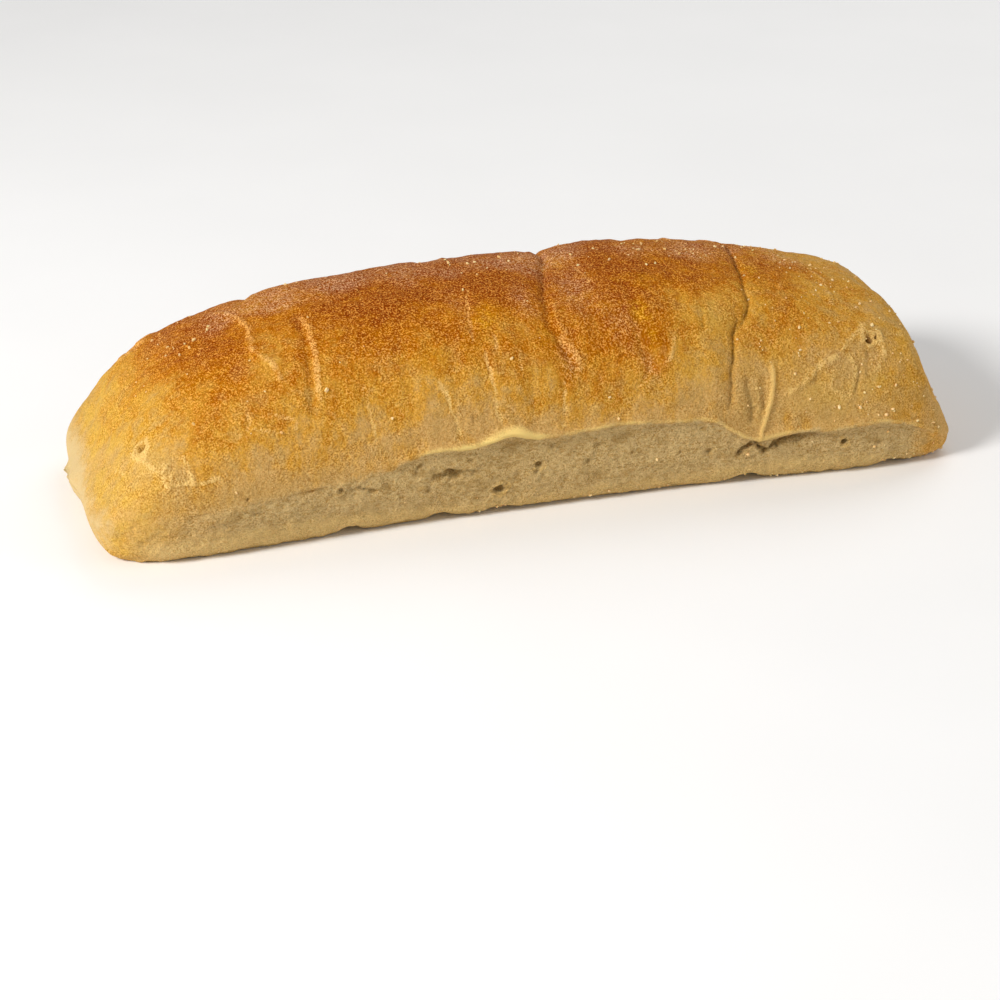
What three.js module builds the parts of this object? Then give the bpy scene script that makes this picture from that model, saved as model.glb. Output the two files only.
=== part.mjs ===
// A long ciabatta roll that rests on its flat base.
// Millimetres: +X along the roll, -Y its front, +Z up, z = 0 the surface under it.
// The roll is one skin of rings. Each ring is a cross-section, and relief is pushed along the skin's normal.
import * as THREE from "three";

// v runs round a section: these are its parts' first values
const PARTS = { base: 0, band: 1, dome: 2, backBand: 3 };
const FULL_ROUND = 4; // v comes back to 0 here
const CROWN = 2.5; // v of the top

// Overall form
const HALF_LENGTH = 110;
const LEFT_TIP_HEIGHT = 7.5; // the ends close at these heights
const RIGHT_TIP_HEIGHT = 5;
const FOOT = 5.9; // how far the base's edge lies inside the widest line
const SKIRT_POWER = 0.7; // under 1 rounds the side out from its foot
const HOLLOW_START = 1.5; // powers of the way the hollow under the lip deepens and then closes
const HOLLOW_CLOSE = 14;
const DOME_WIDTH_POWER = 0.72; // under 1 makes the dome squarer than an ellipse
const DOME_HEIGHT_POWER = 0.85;

// Rounding of each end: plan is a superellipse's power, over and under are radii in side view
const LEFT_END = { plan: 6.4, over: 15.3, under: 10.9 };
const RIGHT_END = { plan: 8.3, over: 7.5, under: 5.5 };

// Curves along the roll, as [x, value]
const CROWN_HEIGHT = [
  [-110, 14.6], [-105, 19.9], [-98, 27.9], [-88, 36.7], [-74, 42.5], [-58, 47.2], [-40, 49.3],
  [-15, 50.6], [4, 50.4], [12, 50], [20, 50.9], [30, 51.1], [50, 49.1], [68, 45.4], [82, 41.8],
  [92, 38.9], [98, 34.5], [103, 22.9], [110, 8.5],
];
const FRONT_HALF_WIDTH = [
  [-110, 40], [-97, 39.6], [-85, 38.2], [-50, 35.2], [0, 34.8], [50, 35.4], [90, 38.1], [110, 38],
];
const BACK_HALF_WIDTH = [[-110, 39.5], [-85, 38], [-50, 36.6], [0, 36.4], [50, 36.6], [90, 37.8], [110, 38]];
const FRONT_LIP_HEIGHT = [
  [-110, 13], [-86, 13.8], [-62, 15.5], [-40, 17.7], [-30, 20.6], [-19, 20.8], [-9, 22.8],
  [-4, 21.3], [17, 21.8], [33, 20.5], [42, 19.2], [46.5, 16], [51.5, 13.5], [63, 14.3],
  [74, 13.8], [86, 14.6], [96, 11.6], [102, 8.2], [110, 5.5],
];
const BACK_LIP_HEIGHT = [[-110, 13], [-70, 15], [-30, 17.5], [10, 19], [45, 16.5], [75, 15], [110, 6]];
// How far the crust overhangs the pale side band below it
const FRONT_OVERHANG = [
  [-110, 0], [-60, 0.2], [-42, 0.4], [-28, 1], [-9, 1.7], [10, 1.4], [35, 1], [46, 0.9], [52, 1.6], [62, 1.8],
  [85, 1.6], [100, 0.9], [110, 0.3],
];
const BACK_OVERHANG = [[-110, 0], [-70, 0.6], [-20, 1.2], [30, 0.9], [80, 1.3], [110, 0.3]];
// Roll of crust along the edge of the front overhang
const LIP_BEAD = [
  [-50, 0], [-28, 0.5], [-10, 1], [0, 0.5], [17, 0.6], [40, 0.3], [51, 0.8], [60, 0.5], [85, 0.4], [102, 0.2],
];
const BEAD_RISE = 0.9; // the bead's middle is this far above the lip
const BEAD_REACH = 1.2;

// Creases run over the crust. path is [degrees round the roll, x]: 0 is the front, 90 the top, 180 the back.
const CREASES = {
  left: { path: [[27, -57.8], [32, -58.4], [43, -56.5], [61, -55.8], [83, -54.7]], depth: 0.75, width: 1.2 },
  notch: {
    path: [[38, 5.7], [46, 3], [52, 2.3], [64, 2.8], [69, 3.1], [85, 9.1], [100, 11], [116, 12.3], [142, 13]],
    depth: 1.1, width: 1.3,
  },
  mainUpper: {
    path: [[41, 48.4], [45, 51.4], [50, 53.3], [55, 54.6], [65, 55.5], [75, 56.1], [89, 57.2], [99, 59.4]],
    depth: 1, width: 1,
  },
  mainLower: { path: [[13, 45.6], [20, 45.7], [34, 47.3], [42, 48.3], [47, 50.5]], depth: 0.8, width: 1 },
  leftArc: {
    path: [[46, -63.8], [50, -64.8], [57, -65.5], [62, -67.8], [77, -67.1], [92, -68.2]],
    depth: 0.45, width: 1,
  },
  leftShort: { path: [[26, -75.9], [31, -72.5], [38, -73.1]], depth: 0.35, width: 0.9 },
  mainBranch: { path: [[42, 40.4], [47, 39.8], [59, 42.7]], depth: 0.4, width: 0.8 },
  patchLeft: { path: [[26, 23.1], [34, 25], [40, 23.3], [53, 24]], depth: 0.4, width: 1.1 },
  patchRight: { path: [[34, 30.7], [42, 32.2]], depth: 0.35, width: 1 },
  pucker: { path: [[-2, 51.4], [10, 52.5], [18, 53.4], [25, 53.8]], depth: 1.1, width: 1.3 },
  rightLong: { path: [[14, 77.2], [26, 82]], depth: 0.35, width: 0.9 },
  rightShort: { path: [[22, 67.6], [31, 68.4]], depth: 0.3, width: 0.9 },
  backLeft: { path: [[112, -66], [135, -62], [158, -63]], depth: 0.6, width: 1.2 },
  backMiddle: { path: [[118, -18], [140, -13], [166, -15]], depth: 0.8, width: 1.2 },
  backRight: { path: [[108, 38], [130, 34], [160, 36]], depth: 0.6, width: 1.1 },
};
const AXIS_HEIGHT = 15; // the degrees are counted about this height
const CREASE_FADE = 8; // degrees over which a crease ends
const CREASE_FLANK = 3.2; // the soft hollow beside a crease, in crease widths
const CREASE_FLANK_SHARE = 0.35;
const END_CALM = 6; // all relief fades out over this much of each tip

// Drapes: soft upright waves low on the front crust
const DRAPES = {
  depth: 0.13,
  from: 12, to: 66, fade: 24, // degrees
  left: -38, right: 46, side: 16, // along the roll
  lean: 40, // degrees over which the waves move by a radian
  waves: [{ length: 10.1, share: 1, phase: 0 }, { length: 6, share: 0.8, phase: 2 }],
};

// Splits run along the front band. path is [x, z].
const SPLITS = [
  { path: [[48, 10.4], [52.8, 12.1], [56.3, 10], [60, 11.8], [69, 13.1]], depth: 1.3, width: 0.9 },
  { path: [[-29, 14], [-17, 13.1]], depth: 0.6, width: 1 },
  { path: [[-66, 16.3], [-56, 15.2]], depth: 0.5, width: 0.9 },
  { path: [[-52, 13.9], [-42, 12.4]], depth: 0.5, width: 0.9 },
];
const SPLIT_FADE = 2.5;

// Pits are gas holes on the front, at [x, z]
const PITS = [
  { x: 84.5, z: 34.9, radius: 1.5, depth: 1.7 },
  { x: -97.3, z: 27, radius: 1.4, depth: 1.6 },
  { x: -92.2, z: 24.8, radius: 1.3, depth: 0.5 },
  { x: 76.6, z: 9.6, radius: 1.1, depth: 1.2 },
  { x: -12.3, z: 7.4, radius: 1.1, depth: 1.2 },
  { x: -2.8, z: 13.3, radius: 1.4, depth: 0.7 },
];

// Hem: the band's bottom rolls out a little. Nicks lift its edge off the surface.
const HEM = { height: 3.4, reach: 2.1, depth: 0.5 };
const NICKS = [
  { x: -49.4, lift: 2.3, reach: 2.4 },
  { x: -26.6, lift: 1.4, reach: 2.6 },
  { x: -11.3, lift: 0.8, reach: 3 },
  { x: 52.9, lift: 3, reach: 2.6 },
  { x: 91, lift: 1.2, reach: 4 },
  { x: 0, lift: 0.7, reach: 48 },
];
const NICK_DEPTH = 2.6; // how far a nick reaches in from the edge

// Lumps stand out of the left end: a scrap of dough, and the swelling that it grows from
const LUMPS = [
  { at: new THREE.Vector3(-109.3, 10.5, 6), radius: 2.1, height: 2.4 },
  { at: new THREE.Vector3(-109.8, 2.5, 6.5), radius: 5, height: 1.6 },
];

// Camber: the base is very slightly hollow, so that the roll stands on the four corners of its foot
const CAMBER = { left: -93.7, right: 98, along: 0.05, across: 0.05 };

// Mesh density
const RING_STEP = 2.7;
const CAP_STEP = 2.1; // along the ends' rounding
const TIP_GAP = 0.02; // the first and last rings stand this far inside the tips
const POINTS_AROUND = [5, 12, 31, 5]; // base, front band, dome, back band
const POINT_BIAS = [1, 0.8, 1.25, 1]; // above 1 crowds a part's points to its start, below 1 to its end
const ARC_SAMPLES = 400;
const RING_BEND_REACH = 11; // rings near a long crease bend to follow it
const BEND_FADE = 10; // degrees
const GUIDE_STEP = 1.3; // rings this far on both sides of a bent one keep its crease narrow
const NORMAL_STEP = { along: 0.4, around: 0.006 }; // for the skin's normal, in x and in v

const TURN = 2 * Math.PI;

const clamp01 = (value) => Math.min(Math.max(value, 0), 1);
const bell = (value) => Math.exp(-value * value);
const smooth = (value) => value * value * (3 - 2 * value);

/** 1 between from and to, falling smoothly to 0 over fade at both. */
function between(value, from, to, fade) {
  return smooth(clamp01((value - from) / fade + 0.5)) * smooth(clamp01((to - value) / fade + 0.5));
}

/** A smooth function through [x, value] points, flat beyond them. */
function curve(points) {
  const positions = points.map(([x]) => x);
  const values = points.map(([, value]) => value);
  const interpolant = new THREE.CubicInterpolant(positions, values, 1, new Float64Array(1));
  const first = positions[0];
  const last = positions[positions.length - 1];
  return (x) => {
    if (x <= first) {
      return values[0];
    }
    return x >= last ? values[values.length - 1] : interpolant.evaluate(x)[0];
  };
}

/** Where a path starts and ends. */
function span(path) {
  return { from: path[0][0], to: path[path.length - 1][0] };
}

const crownHeight = curve(CROWN_HEIGHT);
const frontHalfWidth = curve(FRONT_HALF_WIDTH);
const backHalfWidth = curve(BACK_HALF_WIDTH);
const frontLipHeight = curve(FRONT_LIP_HEIGHT);
const backLipHeight = curve(BACK_LIP_HEIGHT);
const frontOverhang = curve(FRONT_OVERHANG);
const backOverhang = curve(BACK_OVERHANG);
const lipBead = curve(LIP_BEAD);
const creases = Object.fromEntries(
  Object.entries(CREASES).map(([name, crease]) => {
    return [name, { ...crease, ...span(crease.path), x: curve(crease.path) }];
  }),
);
const splits = SPLITS.map((split) => ({ ...split, ...span(split.path), z: curve(split.path) }));
const ringGuides = [creases.left, creases.notch, creases.mainUpper, creases.mainLower].map((crease) => {
  const places = crease.path.map(([, x]) => x);
  return { ...crease, anchor: (Math.min(...places) + Math.max(...places)) / 2 };
});

/** Distance of the side out from its middle line, t = 0 at the foot and 1 at the lip. */
function sideReach(width, overhang, t) {
  const skirt = FOOT * Math.sin((t * Math.PI) / 2) ** SKIRT_POWER;
  const hollow = overhang * t ** HOLLOW_START * (1 - t ** HOLLOW_CLOSE);
  return width - FOOT + skirt - hollow;
}

/**
 * [y, z] on the plain section at x. v runs round it from the back foot:
 * base 0 to 1, front band 1 to 2, dome 2 to 3, back band 3 to 4.
 */
function sectionPoint(x, v) {
  const part = Math.min(Math.floor(v), PARTS.backBand);
  const t = v - part;
  const frontWidth = frontHalfWidth(x);
  const backWidth = backHalfWidth(x);
  const frontLip = frontLipHeight(x);
  const backLip = backLipHeight(x);
  if (part === PARTS.base) {
    return [THREE.MathUtils.lerp(backWidth - FOOT, FOOT - frontWidth, t), 0];
  }
  if (part === PARTS.band) {
    return [-sideReach(frontWidth, frontOverhang(x), t), frontLip * t];
  }
  if (part === PARTS.dome) {
    const across = Math.cos(Math.PI * t);
    const up = Math.sin(Math.PI * t);
    const lip = frontLip * (1 - t) + backLip * t;
    const width = across > 0 ? -frontWidth : backWidth;
    const rise = crownHeight(x) - lip;
    return [width * Math.abs(across) ** DOME_WIDTH_POWER, lip + rise * up ** DOME_HEIGHT_POWER];
  }
  return [sideReach(backWidth, backOverhang(x), 1 - t), backLip * (1 - t)];
}

/** Share of full height left at a gap from the tip, for an end rounded by radius. */
function roundOver(gap, radius) {
  const inward = 1 - clamp01(gap / radius);
  return Math.sqrt(Math.max(1 - inward * inward, 0));
}

/** Point of the skin at x and v, before relief. */
function skinPoint(x, v) {
  const [y, z] = sectionPoint(x, v);
  const end = x < 0 ? LEFT_END : RIGHT_END;
  const along = Math.min(Math.abs(x) / HALF_LENGTH, 1);
  const narrowing = (1 - along ** end.plan) ** (1 / end.plan);
  const tipHeight = THREE.MathUtils.lerp(LEFT_TIP_HEIGHT, RIGHT_TIP_HEIGHT, (x / HALF_LENGTH + 1) / 2);
  const radius = z > tipHeight ? end.over : end.under;
  const height = tipHeight + (z - tipHeight) * roundOver(HALF_LENGTH - Math.abs(x), radius);
  return new THREE.Vector3(x, y * narrowing, height);
}

function degreesRound(point) {
  return THREE.MathUtils.radToDeg(Math.atan2(point.z - AXIS_HEIGHT, -point.y));
}

/** x of a ring at v, bent so that the nearest ring runs down each long crease. */
function bentX(x, v) {
  const degrees = degreesRound(skinPoint(x, v));
  return ringGuides.reduce((bent, guide) => {
    const hold = between(degrees, guide.from, guide.to, BEND_FADE);
    const near = bell((x - guide.anchor) / RING_BEND_REACH);
    return bent + hold * near * (guide.x(degrees) - guide.anchor);
  }, x);
}

/** Outward unit normal of the plain skin. */
function skinNormal(x, v) {
  const alongStep = Math.min(NORMAL_STEP.along, (HALF_LENGTH - Math.abs(x)) / 2);
  const along = skinPoint(x + alongStep, v).sub(skinPoint(x - alongStep, v));
  const after = skinPoint(x, (v + NORMAL_STEP.around) % FULL_ROUND);
  const around = after.sub(skinPoint(x, (v - NORMAL_STEP.around + FULL_ROUND) % FULL_ROUND));
  return along.cross(around).normalize();
}

function creaseRelief(x, degrees) {
  return Object.values(creases).reduce((sum, crease) => {
    const aside = (x - crease.x(degrees)) / crease.width;
    const profile = bell(aside) + CREASE_FLANK_SHARE * bell(aside / CREASE_FLANK);
    return sum - crease.depth * profile * between(degrees, crease.from, crease.to, CREASE_FADE);
  }, 0);
}

function drapeRelief(x, degrees) {
  const around = between(degrees, DRAPES.from, DRAPES.to, DRAPES.fade);
  const hold = around * between(x, DRAPES.left, DRAPES.right, DRAPES.side);
  const lean = degrees / DRAPES.lean;
  const waves = DRAPES.waves.reduce((sum, { length, share, phase }) => {
    return sum + share * Math.sin((TURN * x) / length + phase + lean);
  }, 0);
  return DRAPES.depth * hold * waves;
}

/** Relief of the front side band and its lip: bead, hem, splits and pits. */
function sideRelief({ x, z }, v) {
  const above = z - frontLipHeight(x) - BEAD_RISE;
  let relief = v >= PARTS.dome ? lipBead(x) * bell(above / BEAD_REACH) : 0;
  if (v < PARTS.dome) {
    relief += HEM.depth * bell((z - HEM.height) / HEM.reach);
    for (const split of splits) {
      const hold = between(x, split.from, split.to, SPLIT_FADE);
      relief -= split.depth * hold * bell((z - split.z(x)) / split.width);
    }
  }
  return relief;
}

function pitRelief({ x, z }) {
  return PITS.reduce((sum, pit) => {
    return sum - pit.depth * bell(Math.hypot(x - pit.x, z - pit.z) / pit.radius);
  }, 0);
}

/** How far a nick lifts the front foot. */
function nickLift(x, edgeDistance) {
  const lift = NICKS.reduce((sum, nick) => sum + nick.lift * bell((x - nick.x) / nick.reach), 0);
  return lift * bell(edgeDistance / NICK_DEPTH);
}

/** How far the slightly hollow base stands off the surface under it. */
function camber(x, v) {
  const halfSpan = (CAMBER.right - CAMBER.left) / 2;
  const along = Math.abs((x - CAMBER.left) * (x - CAMBER.right)) / halfSpan ** 2;
  const across = v < PARTS.band ? Math.sin(Math.PI * v) : 0;
  return CAMBER.along * along + CAMBER.across * across;
}

/** Point of the finished skin at ring x and v. */
function loafPoint(ringX, v) {
  const x = bentX(ringX, v);
  const point = skinPoint(x, v);
  const degrees = degreesRound(point);
  const endHold = smooth(clamp01((HALF_LENGTH - Math.abs(x)) / END_CALM));
  let relief = 0;
  if (v > PARTS.band) {
    relief += creaseRelief(x, degrees) + drapeRelief(x, degrees);
    if (v < CROWN) {
      relief += sideRelief(point, v) + pitRelief(point);
    }
  }
  const swell = LUMPS.reduce((sum, { at, radius, height }) => {
    return sum + height * bell(point.distanceTo(at) / radius);
  }, 0);
  const edgeDistance = Math.hypot(point.z, point.y + (frontHalfWidth(x) - FOOT));
  const lift = v < PARTS.dome && point.y < 0 ? nickLift(x, edgeDistance) : 0;
  point.addScaledVector(skinNormal(x, v), relief * endHold);
  point.x -= swell;
  point.z = Math.max(point.z + lift * endHold, 0) + camber(x, v);
  return point;
}

/** Gaps from a tip of the rings round its end, in even steps of arc. */
function capGaps(radius) {
  const count = Math.round((TURN / 4) * (radius / CAP_STEP));
  return Array.from({ length: count }, (_, k) => TIP_GAP + radius * (1 - Math.cos((TURN / 4) * (k / count))));
}

/** x of the rings: round the ends, evenly between them, and three together where a ring follows a crease. */
function ringStops() {
  const start = -HALF_LENGTH + TIP_GAP + LEFT_END.over;
  const end = HALF_LENGTH - TIP_GAP - RIGHT_END.over;
  const steps = Math.round((end - start) / RING_STEP);
  const straight = Array.from({ length: steps + 1 }, (_, k) => THREE.MathUtils.lerp(start, end, k / steps));
  const guided = ringGuides.flatMap(({ anchor }) => [anchor - GUIDE_STEP, anchor, anchor + GUIDE_STEP]);
  const clear = straight.filter((x) => guided.every((place) => Math.abs(x - place) > GUIDE_STEP / 2));
  const left = capGaps(LEFT_END.over).map((gap) => -HALF_LENGTH + gap);
  const right = capGaps(RIGHT_END.over).map((gap) => HALF_LENGTH - gap);
  return [...left, ...clear, ...guided, ...right].sort((a, b) => a - b);
}

/** v of the points round each ring, spaced by arc on the middle section. */
function stopsAround() {
  return POINTS_AROUND.flatMap((count, part) => {
    const lengths = [0];
    for (let k = 1; k <= ARC_SAMPLES; k += 1) {
      const [lastY, lastZ] = sectionPoint(0, part + (k - 1) / ARC_SAMPLES);
      const [y, z] = sectionPoint(0, part + k / ARC_SAMPLES);
      lengths.push(lengths[k - 1] + Math.hypot(y - lastY, z - lastZ));
    }
    const total = lengths[ARC_SAMPLES];
    return Array.from({ length: count }, (_, k) => {
      const target = total * (k / count) ** POINT_BIAS[part];
      const after = Math.max(lengths.findIndex((length) => length >= target), 1);
      const share = (target - lengths[after - 1]) / (lengths[after] - lengths[after - 1]);
      return part + (after - 1 + share) / ARC_SAMPLES;
    });
  });
}

/** Closed skin: rings joined side by side, with a fan to the tip at each end. */
function loafGeometry() {
  const rings = ringStops();
  const around = stopsAround();
  const points = rings.flatMap((x) => around.map((v) => loafPoint(x, v)));
  const leftTip = points.push(new THREE.Vector3(-HALF_LENGTH, 0, LEFT_TIP_HEIGHT)) - 1;
  const rightTip = points.push(new THREE.Vector3(HALF_LENGTH, 0, RIGHT_TIP_HEIGHT)) - 1;
  const count = around.length;
  const lastRing = (rings.length - 1) * count;
  const faces = [];
  for (let k = 0; k < count; k += 1) {
    const next = (k + 1) % count;
    for (let ring = 0; ring < lastRing; ring += count) {
      faces.push(ring + k, ring + count + next, ring + next);
      faces.push(ring + k, ring + count + k, ring + count + next);
    }
    faces.push(leftTip, k, next);
    faces.push(rightTip, lastRing + next, lastRing + k);
  }
  const geometry = new THREE.BufferGeometry().setFromPoints(points);
  geometry.setIndex(faces);
  geometry.computeVertexNormals();
  return geometry;
}

/** Stands the geometry on z = 0 with its box centred in x and y. */
function centreOnBase(geometry) {
  geometry.computeBoundingBox();
  const { min, max } = geometry.boundingBox;
  return geometry.translate(-(min.x + max.x) / 2, -(min.y + max.y) / 2, -min.z);
}

const crust = new THREE.MeshStandardMaterial({ color: 0xbe8437, roughness: 0.75, metalness: 0 });

const loaf = new THREE.Mesh(centreOnBase(loafGeometry()), crust);
loaf.name = "loaf";

const ciabatta = new THREE.Group();
ciabatta.add(loaf);

export default ciabatta;
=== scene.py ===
"""A long ciabatta roll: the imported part's form, remade as one fine crust with loose grains of semolina on it.

Sizes are in millimetres until a mesh is made. x runs along the roll, y away from its front, z up.
v runs round a section from the back foot: base 0 to 1, front band 1 to 2, dome 2 to 3, back band 3 to 4.
Degrees run round the roll too: 0 is its front, 90 its top and 180 its back.
A pair of x, z or degrees for rise() says where something starts and where it is complete.
"""
import math

import bpy
import numpy as np
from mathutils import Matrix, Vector, noise


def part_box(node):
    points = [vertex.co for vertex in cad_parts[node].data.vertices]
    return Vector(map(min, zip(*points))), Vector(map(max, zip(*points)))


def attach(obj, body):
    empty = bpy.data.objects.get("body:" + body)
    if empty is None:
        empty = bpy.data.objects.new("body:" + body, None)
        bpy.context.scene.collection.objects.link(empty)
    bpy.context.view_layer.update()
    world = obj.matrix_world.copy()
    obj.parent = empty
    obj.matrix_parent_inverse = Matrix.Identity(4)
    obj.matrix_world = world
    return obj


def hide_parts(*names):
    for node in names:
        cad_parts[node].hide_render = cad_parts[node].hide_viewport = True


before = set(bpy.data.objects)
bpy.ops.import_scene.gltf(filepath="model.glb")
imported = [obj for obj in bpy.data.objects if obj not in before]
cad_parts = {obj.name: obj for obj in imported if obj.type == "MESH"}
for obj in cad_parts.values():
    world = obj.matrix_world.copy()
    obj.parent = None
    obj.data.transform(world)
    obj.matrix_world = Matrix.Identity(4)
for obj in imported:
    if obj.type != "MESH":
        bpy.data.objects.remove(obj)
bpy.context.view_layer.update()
MM = 0.001
TINY = 1e-9
FAR = 1e3  # mm, farther than any two points of the roll are apart

# ---------------------------------------------------------------- form, as in the part
HALF_LENGTH = 110
LEFT_TIP_HEIGHT = 7.5
RIGHT_TIP_HEIGHT = 5
FOOT = 5.9
SKIRT_POWER = 0.7
HOLLOW_START = 1.5
HOLLOW_CLOSE = 14
DOME_WIDTH_POWER = 0.72
DOME_HEIGHT_POWER = 0.85
LEFT_END = {"plan": 6.4, "over": 15.3, "under": 10.9}
RIGHT_END = {"plan": 8.3, "over": 7.5, "under": 5.5}
AXIS_HEIGHT = 15
CROWN = 2.5  # v of the ridge line between front and back

CROWN_HEIGHT = [
    (-110, 14.6), (-105, 19.9), (-98, 27.9), (-88, 36.7), (-74, 42.5), (-58, 47.2), (-40, 49.3),
    (-15, 50.6), (4, 50.4), (12, 50), (20, 50.9), (30, 51.1), (50, 49.1), (68, 45.4), (82, 41.8),
    (92, 38.9), (98, 34.5), (103, 22.9), (110, 8.5),
]
FRONT_HALF_WIDTH = [
    (-110, 40), (-97, 39.6), (-85, 38.2), (-50, 35.2), (0, 34.8), (50, 35.4), (90, 38.1), (110, 38),
]
BACK_HALF_WIDTH = [(-110, 39.5), (-85, 38), (-50, 36.6), (0, 36.4), (50, 36.6), (90, 37.8), (110, 38)]
FRONT_LIP_HEIGHT = [
    (-110, 13), (-86, 13.8), (-62, 15.5), (-40, 17.7), (-30, 20.6), (-19, 20.8), (-9, 22.8),
    (-4, 21.3), (17, 21.8), (33, 20.5), (42, 19.2), (46.5, 16), (51.5, 13.5), (63, 14.3),
    (74, 13.8), (86, 14.6), (96, 11.6), (102, 8.2), (110, 5.5),
]
BACK_LIP_HEIGHT = [(-110, 13), (-70, 15), (-30, 17.5), (10, 19), (45, 16.5), (75, 15), (110, 6)]
FRONT_OVERHANG = [
    (-110, 0), (-60, 0.2), (-42, 0.4), (-28, 1), (-9, 1.7), (10, 1.4), (35, 1), (46, 0.9), (52, 1.6),
    (62, 1.8), (85, 1.6), (100, 0.9), (110, 0.3),
]
BACK_OVERHANG = [(-110, 0), (-70, 0.6), (-20, 1.2), (30, 0.9), (80, 1.3), (110, 0.3)]
LIP_BEAD = [  # how full the loose roll of crust along the front lip is, by x
    (-50, 0), (-28, 0.5), (-10, 1), (0, 0.5), (17, 0.6), (40, 0.3), (51, 0.8), (60, 0.5), (85, 0.4),
    (102, 0.2),
]
LIP_PALE = [  # how pale its edge is
    (-50, 0), (-34, 0.3), (-27, 0.65), (-18, 1), (-6, 1), (-1, 0.5), (10, 0.5), (38, 0.45), (44, 0.5),
    (50, 0.7), (57, 0.6), (64, 0.35), (85, 0.4), (95, 0.4), (104, 0.2),
]
BEAD_RISE = 0.9
BEAD_REACH = 1
BEAD_FULLER = 1.7  # than the part's
LIP_WOBBLE = (5, 60, 1, 0.35)  # wave size, offset, middle, amount
TONGUE = (-11, 5, 0.1)  # the roll is higher and fuller round here: x, reach, lift
TONGUE_FULLER = 2  # for each mm of its lift
LIP_EDGE_DROP = 0.2  # of the pale edge, below the middle of the roll
LIP_EDGE_REACH = 0.75
LIP_EDGE_WIDER = (-12, 6.5, 1)  # it reaches farther round here: x, reach, by

# Lumps on the left end: (x, y, z), radius, height
LUMPS = [((-109.3, 10.5, 6), 2.1, 2.4), ((-109.8, 2.5, 6.5), 5, 1.6)]

# Hem and nicks of the front foot. A nick is (x, lift, reach).
HEM_HEIGHT = 3.4
HEM_REACH = 2.1
HEM_DEPTH = 0.5
NICKS = [(-49.4, 2.3, 2.4), (-26.6, 1.4, 2.6), (-11.3, 0.8, 3), (52.9, 3, 2.6), (91, 1.2, 4), (0, 0.7, 48)]
NICK_DEPTH = 2.6

# ---------------------------------------------------------------- relief
# Creases: path of (degrees, x), depth, width, and how dark their line of painted shade is
CREASES = [
    ([(27, -57.8), (35, -57), (43, -56.4), (53, -55.7), (64, -55.3), (83, -54.6)], 0.55, 1.1, 0.12),
    ([(36, 6), (46, 4.2), (52, 2.9), (60, 3.6), (73, 5.2), (85, 7.6), (100, 10.5), (116, 12.3), (142, 13)],
     1, 1.15, 0.35),
    ([(41, 48.4), (45, 51.6), (50, 53.8), (55, 54.8), (62, 55.4), (71, 57), (89, 59.3), (109, 62), (125, 63)],
     0.95, 0.8, 0.6),
    ([(13, 45.6), (26, 46.5), (34, 47.5), (42, 48.6), (47, 50.5)], 0.85, 0.65, 0.65),
    ([(112, -66), (135, -62), (158, -63)], 0.6, 1.2, 0.4),
    ([(118, -18), (140, -13), (166, -15)], 0.8, 1.2, 0.5),
    ([(108, 38), (130, 34), (160, 36)], 0.6, 1.1, 0.4),
]
CREASE_FADE = 8
CREASE_FLANK = 3.2
CREASE_FLANK_SHARE = 0.4
CREASE_WANDER = 0.22
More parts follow.
